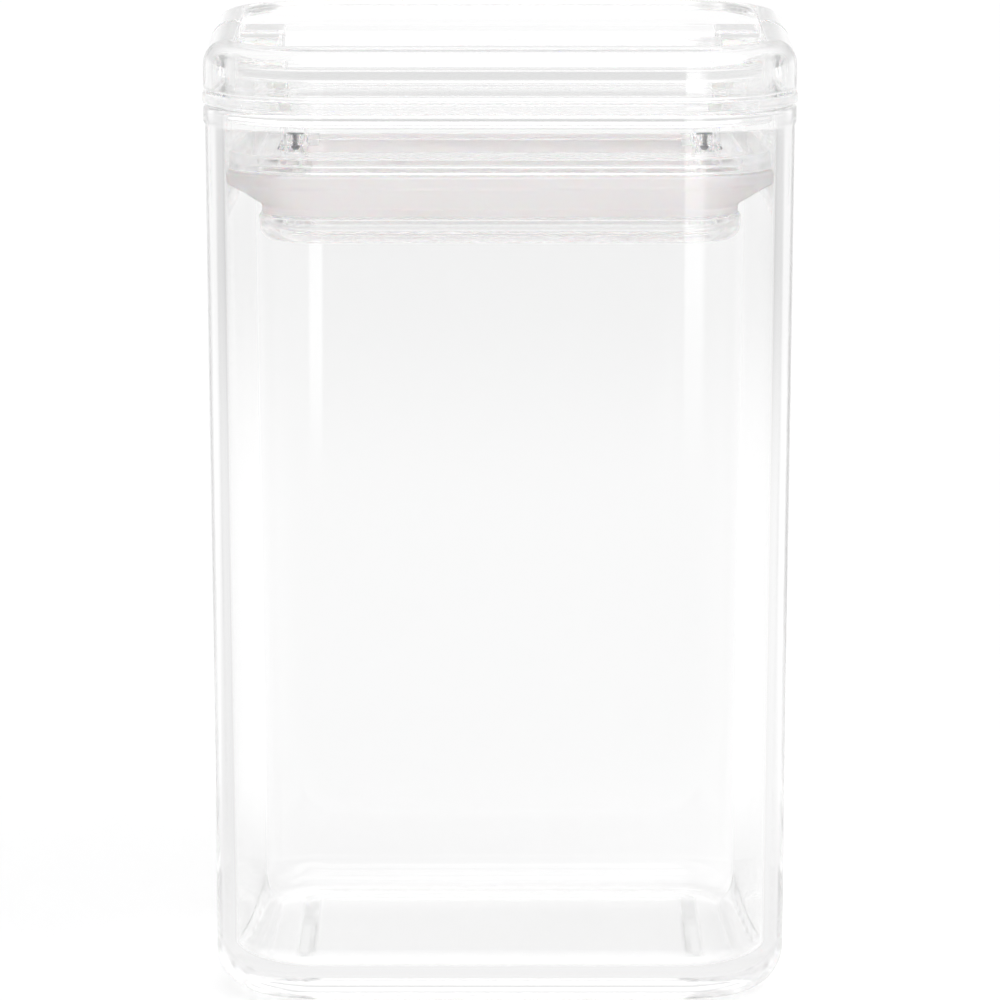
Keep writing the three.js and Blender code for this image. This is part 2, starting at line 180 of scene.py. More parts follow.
def arc(half, z, radius, start, end, steps=8):
    # points of a fillet as (half width, z), angles in degrees with 0 pointing outwards
    points = []
    for i in range(steps + 1):
        a = math.radians(start + (end - start) * i / steps)
        points.append((half + radius * math.cos(a), z + radius * math.sin(a)))
    return points


def growCap(piece, side, start, profile):
    # takes the top or bottom face along a profile of (half width, z) that never widens
    edit(piece)
    pick("faces", lambda f: f.normal.z * side > levelNormal and abs(middle(f).z - start[1] * mm) < tiny)
    half, z = start
    for nextHalf, nextZ in profile:
        inward, along = (half - nextHalf) * mm, (nextZ - z) * side * mm
        if inward > shortest:
            bpy.ops.mesh.inset(thickness=inward, depth=along, use_even_offset=True, use_boundary=True)
        elif abs(along) > shortest:
            bpy.ops.mesh.extrude_region_move(TRANSFORM_OT_translate={"value": (0, 0, along * side)})
        half, z = nextHalf, nextZ
    rest()


def openThrough(piece, low, high):
    # takes out the two caps, which have come to lie on each other, so that a block becomes a ring
    edit(piece)
    pick("faces", lambda f: abs(f.normal.z) > levelNormal and len(f.verts) > capCorners
         and low * mm <= middle(f).z <= high * mm and middle(f).xy.length < tiny)
    bpy.ops.mesh.delete(type="FACE")
    bpy.ops.mesh.select_all(action="SELECT")
    bpy.ops.mesh.remove_doubles(threshold=weld)
    rest()


def shade(hexColour):
    # sRGB hex to linear
    channels = [int(hexColour[i:i + 2], 16) / 255 for i in (1, 3, 5)]
    return [c / 12.92 if c <= 0.04045 else ((c + 0.055) / 1.055) ** 2.4 for c in channels] + [1]


def node(tree, kind, place, links=(), **settings):
    # adds a node; a setting that starts with in_ is the value of an input
    made = tree.nodes.new(kind)
    made.location = place
    for name, value in settings.items():
        if name.startswith("in_"):
            made.inputs[name[3:].replace("_", " ")].default_value = value
        else:
            setattr(made, name, value)
    for socket, source in links:
        tree.links.new(source, made.inputs[socket])
    return made


def newMaterial(name):
    material = bpy.data.materials.new(name)
    material.use_nodes = True
    tree = material.node_tree
    tree.nodes.clear()
    return material, tree


def finishMaterial(tree, shader):
    node(tree, "ShaderNodeOutputMaterial", (600, 0), [("Surface", shader)])


def pressedGlass():
    # soda-lime glass, pressed and fire polished: clear, bright, with a slow waviness in the walls
    material, tree = newMaterial("pressedSodaLimeGlass")
    place = node(tree, "ShaderNodeTexCoord", (-900, 0))
    waves = node(tree, "ShaderNodeTexNoise", (-700, -200), [("Vector", place.outputs["Object"])],
                 in_Scale=1 / (45 * mm), in_Detail=1.0, in_Roughness=0.4)
    bump = node(tree, "ShaderNodeBump", (-300, -200), [("Height", waves.outputs["Fac"])],
                in_Strength=0.05, in_Distance=0.4 * mm)
    glass = node(tree, "ShaderNodeBsdfPrincipled", (0, 0), [("Normal", bump.outputs["Normal"])],
                 in_Base_Color=shade("#fefefe"), in_Roughness=0.0, in_IOR=1.51, in_Transmission_Weight=1.0)
    finishMaterial(tree, glass.outputs[0])
    return material


def clearSan():
    # SAN plastic, injection moulded and polished: as clear as the glass, with a faint haze in patches
    # 20 mm across, where it flowed
    material, tree = newMaterial("mouldedClearSan")
    place = node(tree, "ShaderNodeTexCoord", (-900, 0))
    flow = node(tree, "ShaderNodeTexNoise", (-700, -200), [("Vector", place.outputs["Object"])],
                in_Scale=1 / (20 * mm), in_Detail=1.0, in_Roughness=0.5)
    haze = node(tree, "ShaderNodeMapRange", (-400, -200), [("Value", flow.outputs["Fac"])],
                in_To_Min=0.0, in_To_Max=0.015)
    plastic = node(tree, "ShaderNodeBsdfPrincipled", (0, 0), [("Roughness", haze.outputs["Result"])],
                   in_Base_Color=shade("#fefefe"), in_IOR=1.57, in_Transmission_Weight=1.0)
    finishMaterial(tree, plastic.outputs[0])
    return material


def silicone():
    # moulded silicone rubber, undyed: milky, with a soft sheen and a dusty texture, whose grit is drawn
    # ten times as coarse as it is, so that it shows
    material, tree = newMaterial("mouldedSilicone")
    place = node(tree, "ShaderNodeTexCoord", (-900, 0))
    cloud = node(tree, "ShaderNodeTexNoise", (-700, 0), [("Vector", place.outputs["Object"])],
                 in_Scale=1 / (12 * mm), in_Detail=3.0)
    tone = node(tree, "ShaderNodeMix", (-400, 100), [("Factor", cloud.outputs["Fac"])], data_type="RGBA")
    tone.inputs["A"].default_value = shade("#f7f4f4")
    tone.inputs["B"].default_value = shade("#fdfbfb")
    grit = node(tree, "ShaderNodeTexNoise", (-700, -300), [("Vector", place.outputs["Object"])],
                in_Scale=1 / (0.6 * mm), in_Detail=2.0)
    bump = node(tree, "ShaderNodeBump", (-300, -300), [("Height", grit.outputs["Fac"])],
                in_Strength=0.25, in_Distance=0.05 * mm)
    rubber = node(tree, "ShaderNodeBsdfPrincipled", (0, 0),
                  [("Base Color", tone.outputs["Result"]), ("Normal", bump.outputs["Normal"])],
                  in_Roughness=0.45, in_IOR=1.41, in_Subsurface_Weight=0.3, in_Subsurface_Scale=3 * mm,
                  in_Transmission_Weight=0.7)
    finishMaterial(tree, rubber.outputs[0])
    return material


def acetal():
    # natural acetal, moulded: milky white, faintly see-through and satin, clouded every 3 mm or so
    material, tree = newMaterial("mouldedAcetal")
    place = node(tree, "ShaderNodeTexCoord", (-900, 0))
    cloud = node(tree, "ShaderNodeTexNoise", (-700, 0), [("Vector", place.outputs["Object"])],
                 in_Scale=1 / (3 * mm), in_Detail=2.0)
    tone = node(tree, "ShaderNodeMix", (-400, 100), [("Factor", cloud.outputs["Fac"])], data_type="RGBA")
    tone.inputs["A"].default_value = shade("#f7f7f3")
    tone.inputs["B"].default_value = shade("#fcfcf9")
    plastic = node(tree, "ShaderNodeBsdfPrincipled", (0, 0), [("Base Color", tone.outputs["Result"])],
                   in_Roughness=0.35, in_IOR=1.48, in_Subsurface_Weight=0.3, in_Subsurface_Scale=2 * mm,
                   in_Transmission_Weight=0.3)
    finishMaterial(tree, plastic.outputs[0])
    return material


def stainless():
    # stainless steel, turned: cool grey, with the tool's rings drawn coarser than they are, so that they show
    material, tree = newMaterial("turnedStainlessSteel")
    place = node(tree, "ShaderNodeTexCoord", (-900, 0))
    rings = node(tree, "ShaderNodeTexWave", (-700, 0), [("Vector", place.outputs["Object"])],
                 bands_direction="Z", in_Scale=1 / (0.6 * mm), in_Distortion=0.6)
    span = node(tree, "ShaderNodeMapRange", (-400, 0), [("Value", rings.outputs["Fac"])],
                in_To_Min=0.22, in_To_Max=0.34)
    steel = node(tree, "ShaderNodeBsdfPrincipled", (0, 0), [("Roughness", span.outputs["Result"])],
                 in_Base_Color=shade("#8c8e90"), in_Metallic=1.0)
    finishMaterial(tree, steel.outputs[0])
    return material


glassFinish = pressedGlass()
sanFinish = clearSan()
siliconeFinish = silicone()
acetalFinish = acetal()
steelFinish = stainless()
print("materials made")


def present(piece, name, finish, body, nodeName):
    piece.name = name
    piece.data.name = name
    piece.data.materials.clear()
    piece.data.materials.append(finish)
    if body:
        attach(piece, body)
    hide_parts(nodeName)


canister = dict(corner=21, beadProud=0.3, beadHeight=3, beadSlope=0.6, taper=1.8, rimRound=0.8,
                wallTop=3.4, wallFoot=3.6, floor=5, footFillet=8.5, cavityFillet=5.5,
                ringWidth=5, recess=0.8, recessSlope=5, recessSteps=12)
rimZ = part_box("canister_body")[1].z / mm
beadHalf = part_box("canister_body")[1].x / mm
halfTop = beadHalf - canister["beadProud"]


def outsideAt(z):
    return halfTop - canister["taper"] * (1 - z / rimZ)


def insideAt(z):
    return outsideAt(z) - canister["wallTop"] - (canister["wallFoot"] - canister["wallTop"]) * (1 - z / rimZ)


def cornerAt(half):
    return canister["corner"] + half - halfTop  # every outline is an offset of the canister's


def makeCanister():
    c = canister
    rimEdge, beadZ = rimZ - c["rimRound"], rimZ - c["beadHeight"]
    beadEnd = beadZ - c["beadSlope"]
    footHalf = outsideAt(c["footFillet"]) - c["footFillet"]
    hollowHalf = footHalf - c["ringWidth"]
    cavityZ = c["floor"] + c["cavityFillet"]
    # the hollow underneath starts with a soft slope
    shares = [i / c["recessSteps"] for i in range(c["recessSteps"] + 1)]
    recess = [(hollowHalf - c["recessSlope"] * t, c["recess"] * (1 - math.cos(math.pi * t)) / 2)
              for t in shares]
    piece = slab(beadHalf, beadZ, rimEdge, cornerAt(beadHalf), 40)
    growCap(piece, down, (beadHalf, beadZ),
            [(outsideAt(beadEnd), beadEnd)]
            + arc(footHalf, c["footFillet"], c["footFillet"], 0, -90, 28) + recess)
    growCap(piece, up, (beadHalf, rimEdge),
            arc(beadHalf - c["rimRound"], rimEdge, c["rimRound"], 0, 90, 6)[1:]
            + arc(insideAt(rimZ) + c["rimRound"], rimEdge, c["rimRound"], 90, 180, 6)
            + arc(insideAt(cavityZ) - c["cavityFillet"], cavityZ, c["cavityFillet"], 0, -90, 32))
    settle(piece)
    present(piece, "canister", glassFinish, "canister", "canister_body")


makeCanister()
print("canister modelled")


# neck: how far out, above and below it the step at the top of the foot reaches
gasket = dict(wall=8, lip=2.2, lipRound=1.1, edge=0.5, undercut=6.6, foot=1.6, neck=(0.4, 0.3, 0.2),
              footEdge=0.3)


def makeGasket():
    # a lip that stands out at the top, undercut to a narrow foot
    g = gasket
    e, lipRound, footEdge = g["edge"], g["lipRound"], g["footEdge"]
    neckOut, neckAbove, neckBelow = g["neck"]
    low, high = [corner.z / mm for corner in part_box("seal_gasket")]
    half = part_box("seal_gasket")[1].x / mm
    inner, footHalf, centre = half - g["wall"], half - g["undercut"], (low + high) / 2
    lipZ, footZ = high - g["lip"], low + g["foot"]
    slope = math.degrees(math.atan2(lipZ - e - footZ, g["undercut"] - e))
    piece = slab(half, lipZ + e, high - e, cornerAt(half), 24)
    growCap(piece, up, (half, high - e),
            arc(half - e, high - e, e, 0, 90, 5)[1:]
            + arc(inner + e, high - e, e, 90, 180, 4) + [(inner, centre)])
    growCap(piece, down, (half, lipZ + e),
            arc(half - lipRound, lipZ + e, lipRound, 0, slope - 90, 6)[1:]
            + [(footHalf + neckOut, footZ + neckAbove), (footHalf, footZ - neckBelow)]
            + arc(footHalf - footEdge, low + footEdge, footEdge, 0, -90, 3)
            + arc(inner + footEdge, low + footEdge, footEdge, -90, -180, 3) + [(inner, centre)])
    openThrough(piece, low, high)
    settle(piece)
    present(piece, "gasketRing", siliconeFinish, None, "seal_gasket")
    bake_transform(piece)


makeGasket()
print("gasket modelled")


# what faces that rest on each other and faces that slide leave free
clearance = dict(rest=0.3, slide=0.4)
lidBase = dict(flange=2.1, flangeEdge=0.5, shoulder=0.4, lipEdge=0.3, plugDepth=2.6, plugGap=0.8,
               plugWall=2.3, deck=2, edge=0.6, ribDrop=0.1, slotHalf=3.4, boss=2.7, seat=1.2, well=2.0,
               screwHole=1.25)
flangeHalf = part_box("lid_base")[1].x / mm
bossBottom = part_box("lid_base")[0].z / mm
flangeBottom = rimZ + clearance["rest"]
flangeTop = flangeBottom + lidBase["flange"]
plugHalf = insideAt(rimZ) - lidBase["plugGap"]
plugInner = plugHalf - lidBase["plugWall"]
plugBottom = rimZ - lidBase["plugDepth"]
deckTop = plugBottom + lidBase["deck"]

# the line that the handle turns on, from the joint, and what stands along it
hinge = [j for j in frame["joints"] if j["name"] == "handle_flip"][0]
axisZ = hinge["pos_m"][2] / mm
lug = dict(thickness=2.5, half=4.2, round=3.7, bore=3.0, borePast=0.2)
cam = dict(width=3.9, lead=1.4, reach=5.2, rest=3, sides=96, journal=2.8, endGap=0.2, drive=1.7,
           driveEdge=0.3)
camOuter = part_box("camshaft_right")[0].x / mm + cam["width"]
camInner = camOuter - cam["width"]
lugInner = camOuter + clearance["rest"]
lugOuter = lugInner + lug["thickness"]
tieX = (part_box("tie_screw_right")[0].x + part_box("tie_screw_right")[1].x) / 2 / mm


def makeLidBase():
    b = lidBase
    e, f, shoulder, lipEdge = b["edge"], b["flangeEdge"], b["shoulder"], b["lipEdge"]
    piece = slab(flangeHalf, flangeBottom + f, flangeTop - f, cornerAt(flangeHalf), 20)
    growCap(piece, down, (flangeHalf, flangeBottom + f),
            arc(flangeHalf - f, flangeBottom + f, f, 0, -90, 4)[1:]
            + arc(plugHalf + shoulder, flangeBottom - shoulder, shoulder, 90, 180, 3)
            + arc(plugHalf - e, plugBottom + e, e, 0, -90, 4))
    growCap(piece, up, (flangeHalf, flangeTop - f),
            arc(flangeHalf - f, flangeTop - f, f, 0, 90, 4)[1:]
            + arc(plugInner + lipEdge, flangeTop - lipEdge, lipEdge, 90, 180, 3)
            + arc(plugInner - e, deckTop + e, e, 0, -90, 4))
    for side in (left, right):
        across = sorted((side * lugInner, side * lugOuter))
        root = sorted((side * lugInner, side * (plugInner + sunk)))
        ear = block((across[0], -lug["half"], deckTop - sunk), (across[1], lug["half"], axisZ))
        combine(piece, ear, "UNION")
        combine(piece, rod((0, axisZ), lug["round"], *across, axis="x"), "UNION")
        rib = block((root[0], -lug["half"], deckTop - sunk), (root[1], lug["half"], flangeTop - b["ribDrop"]))
        combine(piece, rib, "UNION")
        bore = sorted((side * (lugInner - past), side * (lugOuter + lug["borePast"])))
        combine(piece, rod((0, axisZ), lug["bore"], *bore, axis="x"), "DIFFERENCE")
        slot = sorted((side * camInner, side * camOuter))
        combine(piece, block((slot[0], -b["slotHalf"], plugBottom - past),
                             (slot[1], b["slotHalf"], deckTop + past)), "DIFFERENCE")
        combine(piece, rod((side * tieX, 0), b["boss"], bossBottom, plugBottom + sunk), "UNION")
        combine(piece, rod((side * tieX, 0), b["well"], bossBottom + b["seat"], deckTop + past), "DIFFERENCE")
        combine(piece, rod((side * tieX, 0), b["screwHole"], bossBottom - past, deckTop), "DIFFERENCE")
    settle(piece)
    present(piece, "lidBase", sanFinish, "lid", "lid_base")


makeLidBase()
print("lid base modelled")


bar = dict(width=5.9, above=6.3, below=3, outer=4.6, inner=0.9, edge=0.7, sweep=7.28, raised=6.6)
lidTop = axisZ + bar["above"]
barBottom = axisZ - bar["below"]
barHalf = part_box("flip_handle")[1].x / mm
barInner = barHalf - bar["width"]


def barSlab(insideTo):
    # the bar's outside, with its hollow sunk from the top down to a height
    b = bar
    piece = slab(barHalf, barBottom + b["edge"], lidTop - b["outer"], cornerAt(barHalf), 20)
    growCap(piece, down, (barHalf, barBottom + b["edge"]),
            arc(barHalf - b["edge"], barBottom + b["edge"], b["edge"], 0, -90, 4)[1:])
    growCap(piece, up, (barHalf, lidTop - b["outer"]),
            arc(barHalf - b["outer"], lidTop - b["outer"], b["outer"], 0, 90, 10)[1:]
            + arc(barInner + b["inner"], lidTop - b["inner"], b["inner"], 90, 180, 4)
            + [(barInner, insideTo)])
    return piece


def keepOneSide(piece, y, front):
    # cuts across at y and keeps the front or the rear
    edit(piece)
    bpy.ops.mesh.select_all(action="SELECT")
    bpy.ops.mesh.bisect(plane_co=(0, y * mm, 0), plane_no=(0, 1, 0), use_fill=True,
                        clear_outer=front, clear_inner=not front)
    rest()


# meet: where the hollow sunk from the top meets the one from below, over the bottom
# endSpare: what the round hinge ends leave of the bar's lower half
handle = dict(skin=1.7, channelTurn=80, hingeBlock=6, meet=1, endSpare=0.02, socket=1.9, socketDepth=4.6,
              pinHole=1.05, pinTop=2.5)
pinLow, pinHigh = [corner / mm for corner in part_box("lock_pin_right")]
pinX, pinY = (pinLow.x + pinHigh.x) / 2, (pinLow.y + pinHigh.y) / 2


def makeChannel():
    # the hollow under the handle, which stops short of the hinge blocks
    h = handle
    outside, turn = barHalf - h["skin"], bar["outer"] - h["skin"]
    turnZ = lidTop - bar["outer"]
    channel = slab(outside, barBottom - past, turnZ, cornerAt(outside), 20)
    growCap(channel, up, (outside, turnZ), arc(outside - turn, turnZ, turn, 0, h["channelTurn"])[1:])
    inside = barInner + h["skin"]
    combine(channel, slab(inside, barBottom - 2 * past, lidTop + past, cornerAt(inside), 20), "DIFFERENCE")
    keepOneSide(channel, -h["hingeBlock"], True)
    return channel


def makeHandle():
    h = handle
    piece = barSlab(barBottom + h["meet"])
    edit(piece)
    pick("faces", lambda f: f.normal.z < -levelNormal and isBelow(f, barBottom))
    bpy.ops.mesh.inset(thickness=(barHalf - bar["edge"] - barInner) * mm, depth=0, use_even_offset=True)
    bpy.ops.mesh.extrude_region_move(TRANSFORM_OT_translate={"value": (0, 0, h["meet"] * mm)})
    rest()
    openThrough(piece, barBottom, lidTop)
    keepOneSide(piece, bar["below"], True)
    endY = bar["below"] * mm - tiny
    roundEdges(piece, lambda edge: isBelow(edge, barBottom) and min(v.co.y for v in edge.verts) > endY,
               bar["below"] - h["endSpare"], 8)
    combine(piece, makeChannel(), "DIFFERENCE")
    for side in (left, right):
        reach = sorted((side * (barInner - past), side * (barInner + h["socketDepth"])))
        s = h["socket"]
        combine(piece, block((reach[0], -s, axisZ - s), (reach[1], s, axisZ + s)), "DIFFERENCE")
        hole = rod((side * pinX, pinY), h["pinHole"], barBottom - past, axisZ + h["pinTop"])
        combine(piece, hole, "DIFFERENCE")
    settle(piece)
    present(piece, "bailHandle", sanFinish, "handle", "flip_handle")


makeHandle()
print("handle modelled")


cover = dict(recess=4.4, panel=2, wall=2.2, tongue=2.4, gap=0.5, edge=0.35, insideRound=0.8)
hood = dict(wall=1.3, roof=1.5, front=8.6, rear=6, below=0.6, edge=0.8, beyondLug=0.1)


def makeCover():
    c, h = cover, hood
    panelTop = lidTop - c["recess"]
    panelBottom = panelTop - c["panel"]
    panelHalf = barInner - c["gap"]
    tongueHalf = plugInner - clearance["rest"]
    trayInner = tongueHalf - c["wall"]
    wallBottom = flangeTop - c["tongue"]
    e, insideRound = c["edge"], c["insideRound"]
    tray = slab(panelHalf, barBottom + e, panelTop - e, cornerAt(panelHalf), 20)
    growCap(tray, up, (panelHalf, panelTop - e), arc(panelHalf - e, panelTop - e, e, 0, 90, 4)[1:])
    growCap(tray, down, (panelHalf, barBottom + e),
            arc(panelHalf - e, barBottom + e, e, 0, -90, 4)[1:] + [(tongueHalf, barBottom)]
            + arc(tongueHalf - e, wallBottom + e, e, 0, -90, 4))
    rear = barSlab(panelTop)
    keepOneSide(rear, bar["raised"], False)
    combine(rear, rod((0, axisZ), bar["sweep"], -beside, beside, axis="x", sides=96), "DIFFERENCE")
    combine(tray, rear, "UNION")
    roundZ = panelBottom - insideRound
    inside = slab(trayInner, wallBottom - past, roundZ, cornerAt(trayInner), 20)
    growCap(inside, up, (trayInner, roundZ), arc(trayInner - insideRound, roundZ, insideRound, 0, 90, 4)[1:])
    combine(tray, inside, "DIFFERENCE")
    start = camInner - clearance["rest"]
    inner = start - h["wall"]
    roof = axisZ + lug["round"] + clearance["slide"]
    lugSide = lug["half"] + clearance["slide"]
    camSwing = math.hypot(cam["reach"], cam["lead"]) + clearance["slide"]
    for side in (left, right):
        shell = sorted((side * inner, side * lugOuter))
        hump = block((shell[0], -h["front"], panelBottom), (shell[1], h["rear"], roof + h["roof"]))
        roundEdges(hump, lambda edge: isAbove(edge, roof + h["roof"])
                   or (isUpright(edge) and abs(middle(edge).x) < inner * mm + tiny), h["edge"], 4)
        combine(tray, hump, "UNION")
        # the space under the hood, then the way in for the lug and for the cam, then through the tongue
        space = sorted((side * start, side * (lugOuter + h["beyondLug"])))
        combine(tray, block((space[0], -h["front"] + h["wall"], panelBottom - h["below"]),
                            (space[1], h["rear"] - h["wall"], roof)), "DIFFERENCE")
        combine(tray, block((space[0], -lugSide, flangeTop - past),
                            (space[1], lugSide, roof - hair)), "DIFFERENCE")
        reach = sorted((side * start, side * lugInner))
        combine(tray, block((reach[0], -camSwing, flangeTop - past),
                            (reach[1], lug["half"], roof - 2 * hair)), "DIFFERENCE")
        tongue = sorted((side * start, side * beside))
        combine(tray, block((tongue[0], -lugSide, wallBottom - 2 * past),
                            (tongue[1], lugSide, flangeTop)), "DIFFERENCE")
    settle(tray)
    present(tray, "topCover", sanFinish, "lid", "top_cover")


makeCover()
print("cover modelled")


presser = dict(height=3.3, plate=2, pad=5.5, frame=9, tab=8, edge=0.6, footEdge=0.3, fillet=0.5, postHalf=3,
               postEdge=0.4, tieHole=3.0, tabRim=2)


def makePresser():
    p = presser
    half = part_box("presser_plate")[1].x / mm
    bottom, postTop = [corner.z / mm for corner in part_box("presser_plate")]
    top = bottom + p["height"]
    plateBottom = top - p["plate"]
    e, footEdge, fillet = p["edge"], p["footEdge"], p["fillet"]
    inner = half - p["pad"]
    piece = slab(half, bottom + footEdge, top - e, cornerAt(half), 20)
    growCap(piece, up, (half, top - e), arc(half - e, top - e, e, 0, 90, 4)[1:])
    growCap(piece, down, (half, bottom + footEdge),
            arc(half - footEdge, bottom + footEdge, footEdge, 0, -90, 3)[1:]
            + arc(inner + footEdge, bottom + footEdge, footEdge, -90, -180, 3)
            + arc(inner - fillet, plateBottom - fillet, fillet, 0, 90, 4))
    opening = half - p["frame"]
    combine(piece, slab(opening, bottom - past, top + past, cornerAt(opening), 20), "DIFFERENCE")
    for side in (left, right):
        across = sorted((side * (tieX - p["tieHole"] - p["tabRim"]), side * (opening + past)))
        tab = block((across[0], -p["tab"], plateBottom), (across[1], p["tab"], top))
        combine(piece, tab, "UNION")
        reach = sorted((side * (camInner + clearance["rest"]), side * (camOuter - clearance["rest"])))
        post = block((reach[0], -p["postHalf"], plateBottom + sunk), (reach[1], p["postHalf"], postTop))
        roundEdges(post, lambda edge: isUpright(edge) or isAbove(edge, postTop), p["postEdge"], 4)
        combine(piece, post, "UNION")
        combine(piece, rod((side * tieX, 0), p["tieHole"], bottom - past, top + past), "DIFFERENCE")
    settle(piece)
    present(piece, "presserPlate", sanFinish, "presser", "presser_plate")


makePresser()
print("presser modelled")


sealPlate = dict(depth=4.7, round=3, floor=2.4, upstand=6.4, wall=2, lip=0.6, edge=0.3, wellRound=1.2,
                 column=2.5, bore=1.15, boreDepth=2.9)


def makeSealPlate():
    # a shallow tray with a wall that stands up inside the gasket
    s = sealPlate
    e, outerRound, wellRound = s["edge"], s["round"], s["wellRound"]
    bottom, columnTop = [corner.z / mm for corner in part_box("seal_plate")]
    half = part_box("seal_plate")[1].x / mm
    top = bottom + s["depth"]
    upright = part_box("seal_gasket")[1].x / mm - gasket["wall"] - clearance["rest"]
    well = upright - s["wall"]
    lipZ = top + s["upstand"] - s["lip"]
    floorZ = bottom + s["floor"]
    piece = slab(half, bottom + outerRound, top - e, cornerAt(half), 24)
    growCap(piece, down, (half, bottom + outerRound),
            arc(half - outerRound, bottom + outerRound, outerRound, 0, -90, 12)[1:])
    growCap(piece, up, (half, top - e),
            arc(half - e, top - e, e, 0, 90, 3)[1:]
            + [(upright, top)]
            + arc(upright - s["lip"], lipZ, s["lip"], 0, 90, 5)
            + arc(well + e, lipZ + s["lip"] - e, e, 90, 180, 3)
            + arc(well - wellRound, floorZ + wellRound, wellRound, 0, -90, 6))
    for side in (left, right):
        combine(piece, rod((side * tieX, 0), s["column"], floorZ - sunk, columnTop), "UNION")
        hole = rod((side * tieX, 0), s["bore"], columnTop - s["boreDepth"], columnTop + past)
        combine(piece, hole, "DIFFERENCE")
    settle(piece)
    present(piece, "sealPlate", sanFinish, "lid", "seal_plate")


makeSealPlate()
print("seal plate modelled")


def copied(piece, rise):
    # a copy with its own mesh, moved up by some mm
    take(piece)
    bpy.ops.object.duplicate_move(TRANSFORM_OT_translate={"value": (0, 0, rise * mm)})
    bpy.ops.object.transform_apply(location=True, rotation=True, scale=True)
    return bpy.context.object


def mirrored(piece):
    # a copy on the other side, with its own mesh
    take(piece)
    bpy.ops.object.duplicate(linked=False)
    twin = bpy.context.object
    twin.scale.x = -1
    bpy.ops.object.transform_apply(location=True, rotation=True, scale=True)
    edit(twin)
    bpy.ops.mesh.select_all(action="SELECT")
    bpy.ops.mesh.normals_make_consistent(inside=False)
    rest()
    return twin


def presentPair(piece, name, finish, body, nodeName):
    for thing, word in ((mirrored(piece), "left"), (piece, "right")):
        settle(thing)
        present(thing, name + word.capitalize(), finish, body, nodeName + "_" + word)


def camPoint(turn):
    # the cam's outline as (y, z) about its axis, by the angle from straight down towards the rear
    c = cam
    if turn < 0:  # the straight flank, from the tip up to the rest circle
        share = -2 * turn / math.pi
        return -c["lead"] * (1 - share) - c["rest"] * share, -c["reach"] * (1 - share)
    r = c["reach"] - c["lead"] * turn
    return r * math.sin(turn) - c["lead"] * math.cos(turn), -r * math.cos(turn) - c["lead"] * math.sin(turn)


def makeCamshaft():
    c = cam
    outer, end = barInner - c["endGap"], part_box("camshaft_right")[1].x / mm
    shaft = rod((0, axisZ), c["rest"], camInner, camOuter, axis="x", sides=c["sides"])
    edit(shaft)
    quarter = c["sides"] // 4
    for i in range(1 - quarter, quarter):
        turn = math.pi / 2 * i / quarter
        fromY, fromZ = c["rest"] * math.sin(turn), -c["rest"] * math.cos(turn)
        pick("verts", lambda v: math.hypot(v.co.y - fromY * mm, v.co.z - (axisZ + fromZ) * mm) < tiny)
        toY, toZ = camPoint(turn)
        bpy.ops.transform.translate(value=(0, (toY - fromY) * mm, (toZ - fromZ) * mm))
    rest()
    combine(shaft, rod((0, axisZ), c["journal"], camOuter - past, outer, axis="x"), "UNION")
    drive = block((outer - past, -c["drive"], axisZ - c["drive"]), (end, c["drive"], axisZ + c["drive"]))
    roundEdges(drive, lambda edge: abs(edge.verts[0].co.x - edge.verts[1].co.x) > tiny, c["driveEdge"], 3)
    combine(shaft, drive, "UNION")
    clear = c["rest"] + past
    combine(shaft, rod((pinX, pinY), handle["pinHole"], axisZ - clear, axisZ + clear), "DIFFERENCE")
    presentPair(shaft, "camshaft", acetalFinish, "handle", "camshaft")


lockPin = dict(edge=0.2, sides=48)


def makePins():
    p = lockPin
    pin = rod((pinX, pinY), (pinHigh.x - pinLow.x) / 2, pinLow.z, pinHigh.z, sides=p["sides"])
    roundEdges(pin, isLevel, p["edge"], 3)
    presentPair(pin, "lockPin", steelFinish, "handle", "lock_pin")


# join: how far the shank runs into the head, and starts above the tip
screw = dict(shank=0.7, join=0.3, point=0.35, pointRound=0.3, thread=0.95, pitch=0.7, lead=0.4, ridge=0.35,
             ridgeEdge=0.15, head=1.7, headHeight=1.3, headRound=0.6, slot=0.5, slotDepth=0.7, slotShare=0.55,
             headSides=48, sides=32)


def makeScrews():
    s = screw
    low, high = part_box("tie_screw_right")
    x, top, tip = (low.x + high.x) / 2 / mm, high.z / mm, low.z / mm
    seat = top - s["headHeight"]
    body = rod((x, 0), s["head"], seat, top, sides=s["headSides"])
    roundEdges(body, lambda edge: isAbove(edge, top), s["headRound"], 5)
    combine(body, rod((x, 0), s["shank"], tip + s["join"], seat + s["join"], sides=s["sides"]), "UNION")
    turns = int((seat - tip - 2 * s["join"]) / s["pitch"])
    thread = rod((x, 0), s["thread"], tip + s["lead"], tip + s["lead"] + s["ridge"], sides=s["sides"])
    roundEdges(thread, isLevel, s["ridgeEdge"], 2)
    for i in range(1, turns):
        combine(body, copied(thread, i * s["pitch"]), "UNION")
    combine(body, thread, "UNION")
    point = rod((x, 0), s["shank"], tip, tip + s["point"], sides=s["sides"])
    roundEdges(point, lambda edge: isBelow(edge, tip), s["pointRound"], 3)
    combine(body, point, "UNION")
    long, thin, bottom = s["head"] * s["slotShare"], s["slot"] / 2, top - s["slotDepth"]
    combine(body, block((x - long, -thin, bottom), (x + long, thin, top + past)), "DIFFERENCE")
    combine(body, block((x - thin, -long, bottom), (x + thin, long, top + past)), "DIFFERENCE")
    presentPair(body, "tieScrew", steelFinish, "lid", "tie_screw")


makeCamshaft()
makePins()
makeScrews()
print("camshafts, pins and screws modelled")


# a long lens, well back, that looks down a little
camera = dict(distance=1650, pitch=8.16, aimZ=87.3, lens=313.3, sensor=36, clipEnd=50000)


